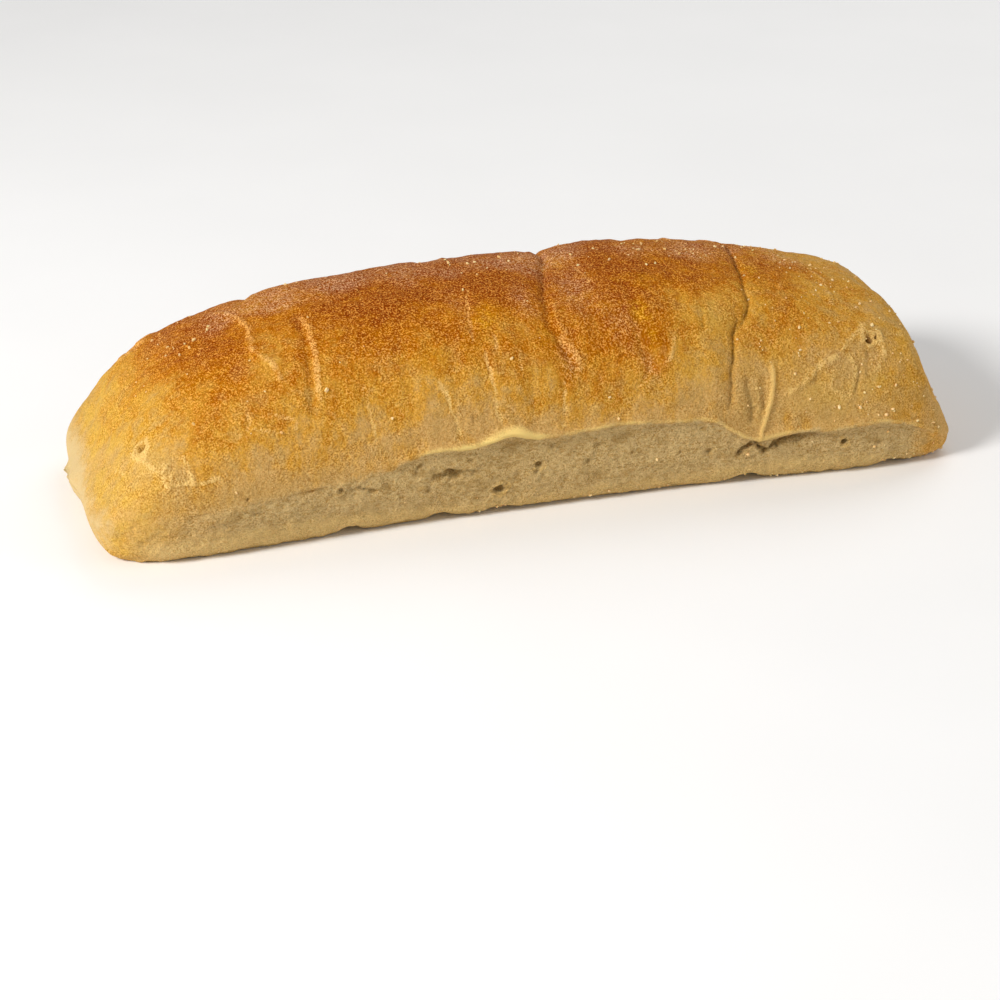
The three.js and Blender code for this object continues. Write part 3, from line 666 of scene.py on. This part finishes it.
def colour_masks(plain, v, split, hole, rim, wander, lip_edge):
    """Where the crust is browned, pale and floury, where painted sheen and painted shade go, and so on, each
    from 0 to 1.
    """
    x, y, z = np.moveaxis(plain, -1, 0)
    degrees = degrees_round(plain)
    degrees = np.where(degrees < UNDERSIDE, degrees + 360, degrees)
    zone = np.where(degrees > MIRROR_AT, 2 * MIRROR_AT - degrees, degrees)
    start = curve(BAKE_START)(x)
    rising = clamp01((zone + BAKE_WANDER * wander - start) / (BAKE_FULL - start)) ** BAKE_POWER
    drip = rise(line_profile(x + DRIP_WANDER * wander, degrees, DRIP, DRIP_WIDTH), *DRIP_EDGE)
    bake = curve(BAKE_TOP)(x) * rising + patches(x, zone, BAKE_PATCHES) + DRIP_BAKE * drip
    band, hem = band_masks(x, z, v, wander)
    dark, pale = line_masks(x, degrees, wander)
    broken = rise(waves(plain, *BROKEN_WAVES), *BROKEN_EDGE)
    dark = dark * (DARK_LEFT + (1 - DARK_LEFT) * broken)
    pale = pale * (PALE_LEFT + (1 - PALE_LEFT) * broken)
    ridge = path_profile(x, degrees, PUCKER_RIDGE, RIDGE_WIDTH, CREASE_FADE)
    lip = lip_edge * curve(LIP_PALE)(x) * uneven(plain, *LIP_UNEVEN)
    pale_end = curve(PALE_END)(y) - x + PALE_END_WANDER * wander
    pale_end = rise(pale_end, -PALE_END_FADE, PALE_END_FADE) * (x < 0)
    gold = (rise(x, *LEFT_GOLD) + patches(x, zone, GOLD_PATCHES)) * uneven(plain, *GOLD_UNEVEN)
    masks = {
        "bake": bake + uneven(plain, *BAKE_MOTTLE),
        "band": band,
        "hem": hem,
        # dark: painted shade in creases, grooves, splits and pits
        "dark": dark + SPLIT_PAINTED_SHADE * clamp01(split) + PIT_PAINTED_SHADE * clamp01(hole),
        "pale": pale + PALE_RIDGE * ridge + PALE_RIM * rim,
        "slick": np.max((SLICK_RIDGE * ridge, lip, SLICK_END * pale_end, SLICK_DRIP * drip), axis=0),
        "flour_and_sheen": flour_and_sheen_mask(plain, x, degrees),
        "amber": patches(x, degrees, AMBER_PATCHES),
        # grey: grey-beige tone, and painted shade low on the right end
        "grey": patches(x, zone, GREY_AND_SHADE_PATCHES),
        "lip": lip,
        "pale_end": pale_end,
        "gold": gold * (1 - pale_end),
    }
    return {name: clamp01(mask) for name, mask in masks.items()}


def lip_roll(x, z, v):
    """The loose roll of crust along the front lip: its height off the skin, and the mask of its pale edge."""
    tongue_x, tongue_reach, tongue_lift = TONGUE
    lift = tongue_lift * bell((x - tongue_x) / tongue_reach)
    above = z - front_lip_height(x) - BEAD_RISE - lift
    fullness = (BEAD_FULLER + TONGUE_FULLER * lift) * curve(LIP_BEAD)(x)
    wide_x, wide_reach, wider = LIP_EDGE_WIDER
    edge_reach = LIP_EDGE_REACH + wider * bell((x - wide_x) / wide_reach)
    on_lip = (v >= 2) & (v < CROWN)
    return fullness * bell(above / BEAD_REACH) * on_lip, bell((above + LIP_EDGE_DROP) / edge_reach) * on_lip


def splits_and_pits(plain, v):
    """Depths of the splits and of the pits, and height of the pits' rims, on the front and the back."""
    x, y, z = np.moveaxis(plain, -1, 0)
    tearing = mixed_waves(plain, TEARING)
    split = split_profile(x, z, tearing) * (v < 2) + split_profile(BACK_SHIFT - x, z, tearing) * (v >= 3)
    ragged = waves(plain, *PIT_WAVES)
    turned = plain * (-1, 1, 1) + (BACK_SHIFT, 0, 0)
    hole, rim = pit_profile(plain, (v > 1) & (v < CROWN), ragged)
    back_hole, back_rim = pit_profile(turned, y > BACK_Y, ragged)
    return split * uneven(plain, *SPLIT_UNEVEN), hole + back_hole, rim + back_rim


def loaf_surface():
    """The finished skin's points and colour masks, and the plain skin's points and their degrees."""
    v = stops_around()[None, :]
    plain = skin_points(ring_stops()[:, None], v)
    x, y, z = np.moveaxis(plain, -1, 0)
    v = v + 0 * x
    degrees = degrees_round(plain)
    wander = mixed_waves(plain, WANDER)
    on_band = (v < 2) | (v >= 3)
    bead, lip_edge = lip_roll(x, z, v)
    split, hole, rim = splits_and_pits(plain, v)

    relief = crease_relief(x, degrees, CREASE_WANDER * wander) + drape_relief(x, degrees)
    relief = relief + np.where(on_band, CRUST_WAVES_ON_BAND, 1) * mixed_waves(plain, CRUST_WAVES)
    relief = relief + bead * uneven(plain, *LIP_WOBBLE) + rim - hole - split
    hem = HEM_DEPTH * bell((z - HEM_HEIGHT) / HEM_REACH) * (v < 2)
    rough = mixed_waves(plain, BAND_WAVES) - PORE_DEPTH * pores(plain)
    relief = relief + np.where(on_band, hem + rough, 0)

    calm = smooth((HALF_LENGTH - np.abs(x)) / END_CALM)
    points = plain + skin_normals(plain) * (relief * (v > 1) * calm)[..., None]
    for place, radius, height in LUMPS:
        points[..., 0] -= height * bell(np.linalg.norm(plain - np.array(place), axis=-1) / radius)
    foot_distance = np.hypot(z, y + front_half_width(x) - FOOT)
    lift = nick_lift(x, foot_distance) * ((v < 2) & (y < 0))
    points[..., 2] = np.maximum(points[..., 2] + lift * calm, 0)
    return points, colour_masks(plain, v, split, hole, rim, wander, lip_edge), plain, degrees


def grid_faces(rings, count):
    """Quads between rings, and a triangle fan to the tip at each end. The tips' points come last."""
    k = np.arange(count)
    following = (k + 1) % count
    faces = []
    for ring in range(rings - 1):
        start = ring * count
        faces.extend(zip(start + k, start + count + k, start + count + following, start + following))
    left_tip, last = rings * count, (rings - 1) * count
    faces.extend((left_tip, a, b) for a, b in zip(k, following))
    faces.extend((left_tip + 1, last + b, last + a) for a, b in zip(k, following))
    return [tuple(int(corner) for corner in face) for face in faces]


def add_mesh(name, points, faces, material):
    mesh = bpy.data.meshes.new(name)
    mesh.from_pydata([tuple(point) for point in points], [], faces)
    mesh.materials.append(material)
    piece = bpy.data.objects.new(name, mesh)
    bpy.context.scene.collection.objects.link(piece)
    return piece


class Nodes:
    """Adds nodes to a material and joins them up."""

    def __init__(self, name):
        self.material = bpy.data.materials.new(name)
        self.material.use_nodes = True
        self.tree = self.material.node_tree
        self.shader = self.tree.nodes["Principled BSDF"]

    def put(self, socket, value):
        if isinstance(value, bpy.types.NodeSocket):
            self.tree.links.new(value, socket)
        elif value is not None:
            socket.default_value = value

    def attribute(self, name):
        node = self.tree.nodes.new("ShaderNodeAttribute")
        node.attribute_name = name
        return node.outputs["Fac"]

    def place(self, stretch=(1, 1, 1)):
        node = self.tree.nodes.new("ShaderNodeTexCoord")
        mapping = self.tree.nodes.new("ShaderNodeMapping")
        mapping.inputs["Scale"].default_value = stretch
        self.tree.links.new(node.outputs["Object"], mapping.inputs["Vector"])
        return mapping.outputs["Vector"]

    def noise(self, place, size, detail=2, roughness=0.5):
        """Noise from 0 to 1 with features of that size in millimetres."""
        node = self.tree.nodes.new("ShaderNodeTexNoise")
        self.put(node.inputs["Vector"], place)
        self.put(node.inputs["Scale"], 1 / (size * MM))
        self.put(node.inputs["Detail"], detail)
        self.put(node.inputs["Roughness"], roughness)
        return node.outputs["Fac"]

    def spots(self, place, size):
        """Distance to the nearest of scattered points, in cells of that size."""
        node = self.tree.nodes.new("ShaderNodeTexVoronoi")
        self.put(node.inputs["Vector"], place)
        self.put(node.inputs["Scale"], 1 / (size * MM))
        return node.outputs["Distance"]

    def math(self, operation, a, b=None, c=None):
        node = self.tree.nodes.new("ShaderNodeMath")
        node.operation = operation
        for socket, value in zip(node.inputs, (a, b, c)):
            self.put(socket, value)
        return node.outputs[0]

    def times(self, a, b):
        return self.math("MULTIPLY", a, b)

    def sway(self, value, pattern, amount):
        """A value moved up and down by noise."""
        return self.math("MULTIPLY_ADD", self.math("SUBTRACT", pattern, 0.5), amount, value)

    def range(self, value, low, high, new_low=0, new_high=1):
        node = self.tree.nodes.new("ShaderNodeMapRange")
        self.put(node.inputs["Value"], value)
        limits = {"From Min": low, "From Max": high, "To Min": new_low, "To Max": new_high}
        for name, number in limits.items():
            node.inputs[name].default_value = number
        return node.outputs["Result"]

    def mix(self, share, a, b, blend="MIX"):
        node = self.tree.nodes.new("ShaderNodeMix")
        node.data_type = "RGBA"
        node.blend_type = blend
        self.put(node.inputs["Factor"], share)
        # 6, 7 and 2 are the colour sockets
        self.put(node.inputs[6], a)
        self.put(node.inputs[7], b)
        return node.outputs[2]

    def ramp(self, value, stops):
        node = self.tree.nodes.new("ShaderNodeValToRGB")
        self.put(node.inputs["Fac"], value)
        elements = node.color_ramp.elements
        while len(elements) < len(stops):
            elements.new(0.5)
        for element, (place, colour) in zip(elements, stops):
            element.position = place
            element.color = colour
        return node.outputs["Color"]

    def bump(self, height, distance, strength=1, below=None):
        node = self.tree.nodes.new("ShaderNodeBump")
        self.put(node.inputs["Height"], height)
        self.put(node.inputs["Distance"], distance * MM)
        self.put(node.inputs["Strength"], strength)
        self.put(node.inputs["Normal"], below)
        return node.outputs["Normal"]


def rgb(red, green, blue):
    """Linear colour of a 0 to 255 sRGB one."""
    shares = [value / 255 for value in (red, green, blue)]
    return (*(c / 12.92 if c < 0.0405 else ((c + 0.055) / 1.055) ** 2.4 for c in shares), 1)


STRAW = rgb(205, 162, 96)
GOLD = rgb(207, 151, 54)
AMBER = rgb(184, 109, 0)
BROWN = rgb(152, 72, 0)
AMBER_GLAZE = rgb(206, 142, 8)
BAND_LIGHT = rgb(216, 186, 130)
BAND_DARK = rgb(192, 158, 100)
# Painted shade in the crumb's hollows and pores
BAND_PORE_SHADE = rgb(164, 130, 74)
HEM_CREAM = rgb(218, 184, 120)
GREY_BEIGE = rgb(186, 150, 88)
LINE_CREAM = rgb(232, 192, 116)
LINE_TAN = rgb(230, 166, 90)
LIP_CREAM = rgb(240, 208, 128)
END_CREAM = rgb(209, 181, 128)
END_GOLD = rgb(216, 172, 68)
# Flour dust, and a painted pinkish sheen on the crest
FLOUR_AND_SHEEN_PINK = rgb(208, 160, 116)
# What a light fleck (flour, and painted glints of small blisters) adds to each colour, and what a dark speck,
# or painted shade in a crease, groove, split or pit, leaves of it
FLECK_AND_GLINT = (0.4, 0.225, 0.05, 1)
FLECK_AND_GLINT_PALE = (0.2, 0.15, 0.07, 1)
FLECK_AND_GLINT_FLOUR = (0.38, 0.28, 0.17, 1)
SPECK = (0.66, 0.52, 0.3, 1)
PAINTED_SHADE_DARKEN = (0.5, 0.45, 0.35, 1)
SEMOLINA = [(0.3, rgb(226, 178, 100)), (0.7, rgb(250, 226, 168))]
FLOOR_WHITE = [(0.3, rgb(250, 250, 250)), (0.7, rgb(252, 252, 252))]
BROWNING = [(0, STRAW), (0.3, GOLD), (0.65, AMBER), (1, BROWN)]
BROWNED = (0.2, 0.9)  # of the bake mask
LINE_BROWNED = (0.2, 0.7)

# Noise: feature size in mm, detail and, but for the first two, roughness
BROAD = (8, 3)
MEDIUM = (2.2, 3)
STREAKS = (2.4, 3, 0.6)
FINE = (0.4, 2, 0.6)
# Light flecks of flour and painted glints
FLECKS_AND_GLINTS = (0.4, 1, 0.6)
MOTTLES = (4.2, 3, 0.6)
# Breaks up the flour dust and the painted sheen
DUST_AND_SHEEN = (0.9, 3, 0.7)
WEBS = (1.3, 4, 0.65)
HOLLOWS = (3.4, 3, 0.6)
STREAK_STRETCH = (1, 1, 0.5)
WEB_STRETCH = (0.6, 1, 1)
HOLLOW_STRETCH = (0.45, 1, 1)
PORE_CELLS = 0.8
BLISTER_CELLS = 1.1
# How far each noise moves the browning
SHADE_BROAD = 0.7
SHADE_STREAKS = 0.8
SHADE_FINE = 0.4


def crust_colour(n, place, browned, broad, medium, fine):
    """Skin from straw to brown, with glazed, golden and grey patches; two grey patches are painted shade low on
    the right end.
    """
    streaks = n.noise(n.place(STREAK_STRETCH), *STREAKS)
    shade = n.sway(n.attribute("bake"), broad, SHADE_BROAD)
    shade = n.sway(shade, streaks, SHADE_STREAKS)
    shade = n.sway(shade, fine, SHADE_FINE)
    colour = n.ramp(shade, BROWNING)
    colour = n.mix(n.times(n.attribute("amber"), n.range(medium, 0.35, 0.6)), colour, AMBER_GLAZE)
    colour = n.mix(n.times(n.attribute("gold"), 0.7), colour, END_GOLD)
    mottles = n.times(n.range(n.noise(place, *MOTTLES), 0.5, 0.64, 0, 0.5), n.math("SUBTRACT", 1, browned))
    # Grey-beige patches and mottles, and painted shade low on the right end
    return n.mix(n.math("MAXIMUM", n.attribute("grey"), mottles), colour, GREY_BEIGE)


def crumb_colour(n, place, fibres):
    """The band's torn crumb: light fibres, and painted shade in its hollows and pores."""
    flesh = n.mix(fibres, BAND_DARK, BAND_LIGHT)
    # Painted shade in the crumb's hollows and small pores
    hollows = n.range(n.noise(n.place(HOLLOW_STRETCH), *HOLLOWS), 0.46, 0.34)
    flesh = n.mix(n.times(hollows, 0.6), flesh, BAND_PORE_SHADE)
    pits = n.range(n.spots(place, PORE_CELLS), 0.35, 0.15)
    return n.mix(n.times(pits, 0.4), flesh, BAND_PORE_SHADE)


def with_lines(n, place, colour, fine):
    """Dark lines of painted shade, pale lines, the pale edge of the lip, and thin flour, which along the crest
    is also painted sheen.
    """
    def ragged(name, amount, low, high):
        """A mask with its edge made crisp and uneven."""
        return n.range(n.sway(n.attribute(name), fine, amount), low, high)

    # Painted shade: creases, dark grooves, splits and pits darkened in colour
    colour = n.mix(n.times(ragged("dark", 0.5, 0.18, 0.6), 0.9), colour, PAINTED_SHADE_DARKEN, "MULTIPLY")
    line = n.mix(n.range(n.attribute("bake"), *LINE_BROWNED), LINE_CREAM, LINE_TAN)
    line_share = n.range(n.attribute("bake"), *LINE_BROWNED, 0.85, 0.65)
    colour = n.mix(n.times(ragged("pale", 0.5, 0.18, 0.52), line_share), colour, line)
    colour = n.mix(n.times(ragged("lip", 0.4, 0.2, 0.7), 0.9), colour, LIP_CREAM)
    # Flour dust, and painted sheen along the crest
    flour_dust_and_sheen = n.times(n.attribute("flour_and_sheen"), n.range(n.noise(place, *DUST_AND_SHEEN), 0.45, 0.62))
    return n.mix(n.times(flour_dust_and_sheen, 0.45), colour, FLOUR_AND_SHEEN_PINK)


def with_specks(n, place, colour, browned, broad, medium, crusty, rough):
    """Light flecks, which are flour and painted glints of small blisters, and dark specks: strong on the
    browned crust, faint on the band and where it is slick.
    """
    strength = n.times(rough, n.math("MULTIPLY_ADD", crusty, 0.3, 0.75))
    strength = n.times(strength, n.range(browned, 0, 1, 0.66, 1.6))
    strength = n.times(strength, n.range(broad, 0.36, 0.62, 0.65, 1.25))
    strength = n.math("MULTIPLY_ADD", n.attribute("flour_and_sheen"), 0.5, strength)
    strength = n.times(strength, n.range(medium, 0.3, 0.65, 0.6, 1.3))
    # Light flecks: flour, and painted glints of small blisters
    flecks = n.noise(place, *FLECKS_AND_GLINTS)
    fleck_and_glint_colour = n.mix(n.attribute("flour_and_sheen"), n.mix(browned, FLECK_AND_GLINT_PALE, FLECK_AND_GLINT), FLECK_AND_GLINT_FLOUR)
    colour = n.mix(n.times(n.range(flecks, 0.53, 0.66), strength), colour, fleck_and_glint_colour, "ADD")
    return n.mix(n.times(n.range(flecks, 0.49, 0.37), strength), colour, SPECK, "MULTIPLY")


def crust_material():
    n = Nodes("crust_skin")
    place = n.place()
    band = n.attribute("band")
    crusty = n.math("SUBTRACT", 1, band)
    rough = n.math("SUBTRACT", 1, n.attribute("slick"))
    browned = n.range(n.attribute("bake"), *BROWNED)
    broad, medium, fine = (n.noise(place, *pattern) for pattern in (BROAD, MEDIUM, FINE))
    webs = n.math("ABSOLUTE", n.math("SUBTRACT", n.noise(n.place(WEB_STRETCH), *WEBS), 0.5))
    fibres = n.range(webs, 0.12, 0)

    colour = crust_colour(n, place, browned, broad, medium, fine)
    colour = n.mix(band, colour, crumb_colour(n, place, fibres))
    colour = n.mix(n.attribute("hem"), colour, HEM_CREAM)
    colour = n.mix(n.attribute("pale_end"), colour, END_CREAM)
    colour = with_lines(n, place, colour, fine)
    colour = with_specks(n, place, colour, browned, broad, medium, crusty, rough)
    n.put(n.shader.inputs["Base Color"], colour)

    n.put(n.shader.inputs["Roughness"], n.range(medium, 0.3, 0.7, 0.55, 0.7))
    n.put(n.shader.inputs["Specular IOR Level"], 0.02)
    n.put(n.shader.inputs["Subsurface Weight"], 0.08)
    n.put(n.shader.inputs["Subsurface Radius"], (1, 0.5, 0.25))
    n.put(n.shader.inputs["Subsurface Scale"], 1.2 * MM)
    blisters = n.bump(n.spots(place, BLISTER_CELLS), 0.25, n.times(rough, 0.8))
    skin = n.bump(fine, 0.35, n.math("MULTIPLY_ADD", rough, 0.7, 0.1), blisters)
    n.put(n.shader.inputs["Normal"], n.bump(fibres, 0.2, n.times(band, 0.8), skin))
    return n.material


def semolina_material():
    n = Nodes("semolina_grain")
    place = n.place()
    tone = n.noise(place, 1.7, 1)
    n.put(n.shader.inputs["Base Color"], n.ramp(tone, SEMOLINA))
    n.put(n.shader.inputs["Roughness"], n.range(tone, 0.3, 0.7, 0.35, 0.55))
    n.put(n.shader.inputs["Subsurface Weight"], 0.2)
    n.put(n.shader.inputs["Subsurface Scale"], 0.5 * MM)
    n.put(n.shader.inputs["Normal"], n.bump(n.noise(place, 0.3, 2), 0.05, 0.5))
    return n.material


def floor_material():
    n = Nodes("floor")
    n.put(n.shader.inputs["Base Color"], n.ramp(n.noise(n.place(), 60, 2), FLOOR_WHITE))
    n.put(n.shader.inputs["Roughness"], 0.8)
    n.put(n.shader.inputs["Specular IOR Level"], 0.1)
    return n.material


def make_loaf(points, masks, shift):
    rings, count = points.shape[:2]
    tips = np.array([(-HALF_LENGTH, 0, LEFT_TIP_HEIGHT), (HALF_LENGTH, 0, RIGHT_TIP_HEIGHT)])
    placed = (np.concatenate((points.reshape(-1, 3), tips)) + shift) * MM
    loaf = add_mesh("loaf_crust", placed, grid_faces(rings, count), crust_material())
    loaf.data.shade_smooth()
    for name, mask in masks.items():
        values = np.concatenate((mask.ravel(), mask[0, :1], mask[-1, :1]))
        loaf.data.attributes.new(name, "FLOAT", "POINT").data.foreach_set("value", values.astype(np.float32))
    return loaf


def grain_shape(random, half_length):
    """An irregular grain: a jittered icosahedron, longer one way."""
    golden = (1 + math.sqrt(5)) / 2
    corners = np.array([
        (-1, golden, 0), (1, golden, 0), (-1, -golden, 0), (1, -golden, 0),
        (0, -1, golden), (0, 1, golden), (0, -1, -golden), (0, 1, -golden),
        (golden, 0, -1), (golden, 0, 1), (-golden, 0, -1), (-golden, 0, 1),
    ]) / math.hypot(1, golden)
    faces = [
        (0, 11, 5), (0, 5, 1), (0, 1, 7), (0, 7, 10), (0, 10, 11), (1, 5, 9), (5, 11, 4), (11, 10, 2),
        (10, 7, 6), (7, 1, 8), (3, 9, 4), (3, 4, 2), (3, 2, 6), (3, 6, 8), (3, 8, 9), (4, 9, 5), (2, 4, 11),
        (6, 2, 10), (8, 6, 7), (9, 8, 1),
    ]
    corners = corners * (1 + GRAIN_JITTER * random.uniform(-1, 1, (12, 1)))
    width = random.uniform(*GRAIN_WIDTHS)
    thickness = random.uniform(*GRAIN_THICKNESSES)
    corners = corners * half_length * np.array((1, width, thickness))
    turn, _ = np.linalg.qr(random.normal(size=(3, 3)))
    turn[:, 0] *= np.sign(np.linalg.det(turn))
    return corners @ turn.T, faces


def grain_weights(plain, degrees):
    x, z = plain[..., 0], plain[..., 2]
    weight = GRAIN_BACKGROUND + patches(x, degrees, GRAIN_ZONES)
    edge = bell(z / GRAIN_EDGE_HEIGHT) * (plain[..., 1] < 0) * between(x, *GRAIN_EDGE)
    return (weight + GRAIN_EDGE_WEIGHT * edge) * (z > GRAIN_LOWEST)


def make_grains(points, plain, degrees, shift):
    random = np.random.default_rng(GRAIN_SEED)
    normals = skin_normals(points)
    across = np.linalg.norm(np.cross(np.gradient(points, axis=0), np.gradient(points, axis=1)), axis=-1)
    chance = (grain_weights(plain, degrees) * across).ravel()
    flat, flat_normals = points.reshape(-1, 3), normals.reshape(-1, 3)
    chosen = random.choice(len(flat), GRAIN_COUNT, p=chance / chance.sum())
    small, large = GRAIN_SIZES
    sizes = small + (large - small) * random.uniform(0, 1, GRAIN_COUNT) ** GRAIN_SIZE_POWER
    front = (plain[..., 1] < 0) | (degrees > GRAIN_FRONT)
    spots = [(k, size) for k, size in zip(chosen, sizes)]
    for x, place_degrees, size in BIG_GRAINS:
        away = np.hypot(plain[..., 0] - x, (degrees - place_degrees) * GRAIN_MM_PER_DEGREE) + FAR * ~front
        spots.append((int(away.argmin()), size))
    all_points, all_faces = [], []
    for k, size in spots:
        corners, faces = grain_shape(random, size)
        start = sum(len(block) for block in all_points)
        all_points.append(corners + flat[k] + flat_normals[k] * size * GRAIN_SINK)
        all_faces.extend(tuple(corner + start for corner in face) for face in faces)
    placed = (np.concatenate(all_points) + shift) * MM
    return add_mesh("semolina_grains", placed, all_faces, semolina_material())


def make_camera(shift):
    azimuth, elevation = math.radians(CAMERA_AZIMUTH), math.radians(CAMERA_ELEVATION)
    level = math.cos(elevation)
    away = Vector((math.sin(azimuth) * level, -math.cos(azimuth) * level, math.sin(elevation)))
    data = bpy.data.cameras.new("camera")
    data.lens = CAMERA_LENS
    data.clip_start = CAMERA_CLIP
    camera = bpy.data.objects.new("camera", data)
    camera.location = (Vector(CAMERA_TARGET) + Vector(shift) + away * CAMERA_DISTANCE) * MM
    camera.rotation_euler = away.to_track_quat("Z", "Y").to_euler()
    bpy.context.scene.collection.objects.link(camera)
    bpy.context.scene.camera = camera


def make_lights():
    for name, (place, size, power, colour) in LIGHTS.items():
        data = bpy.data.lights.new(name, "AREA")
        data.shape = "DISK"
        data.size = size
        data.energy = power
        data.color = colour
        light = bpy.data.objects.new(name, data)
        light.location = place
        light.rotation_euler = Vector(place).to_track_quat("Z", "Y").to_euler()
        bpy.context.scene.collection.objects.link(light)
    world = bpy.data.worlds.new("studio")
    world.use_nodes = True
    world.node_tree.nodes["Background"].inputs["Color"].default_value = (1, 1, 1, 1)
    world.node_tree.nodes["Background"].inputs["Strength"].default_value = WORLD_STRENGTH
    bpy.context.scene.world = world


def make_floor():
    half = FLOOR_SIZE / 2
    corners = [(-half, -half, 0), (half, -half, 0), (half, half, 0), (-half, half, 0)]
    add_mesh("floor", corners, [(0, 1, 2, 3)], floor_material())


def placing_shift(points):
    """From the roll's own frame to the part's, whose box is centred: the right tip and the sides agree."""
    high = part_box("loaf")[1].x / MM
    middle = (points[..., 1].min() + points[..., 1].max()) / 2
    return np.array((high - HALF_LENGTH, -middle, 0))


loaf_points, loaf_masks, plain_points, loaf_degrees = loaf_surface()
SHIFT = placing_shift(loaf_points)
loaf = make_loaf(loaf_points, loaf_masks, SHIFT)
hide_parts("loaf")
grains = make_grains(loaf_points, plain_points, loaf_degrees, SHIFT)
for piece in (loaf, grains):
    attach(piece, "root")
make_floor()
make_camera(SHIFT)
make_lights()
bpy.context.scene.view_settings.view_transform = "Standard"
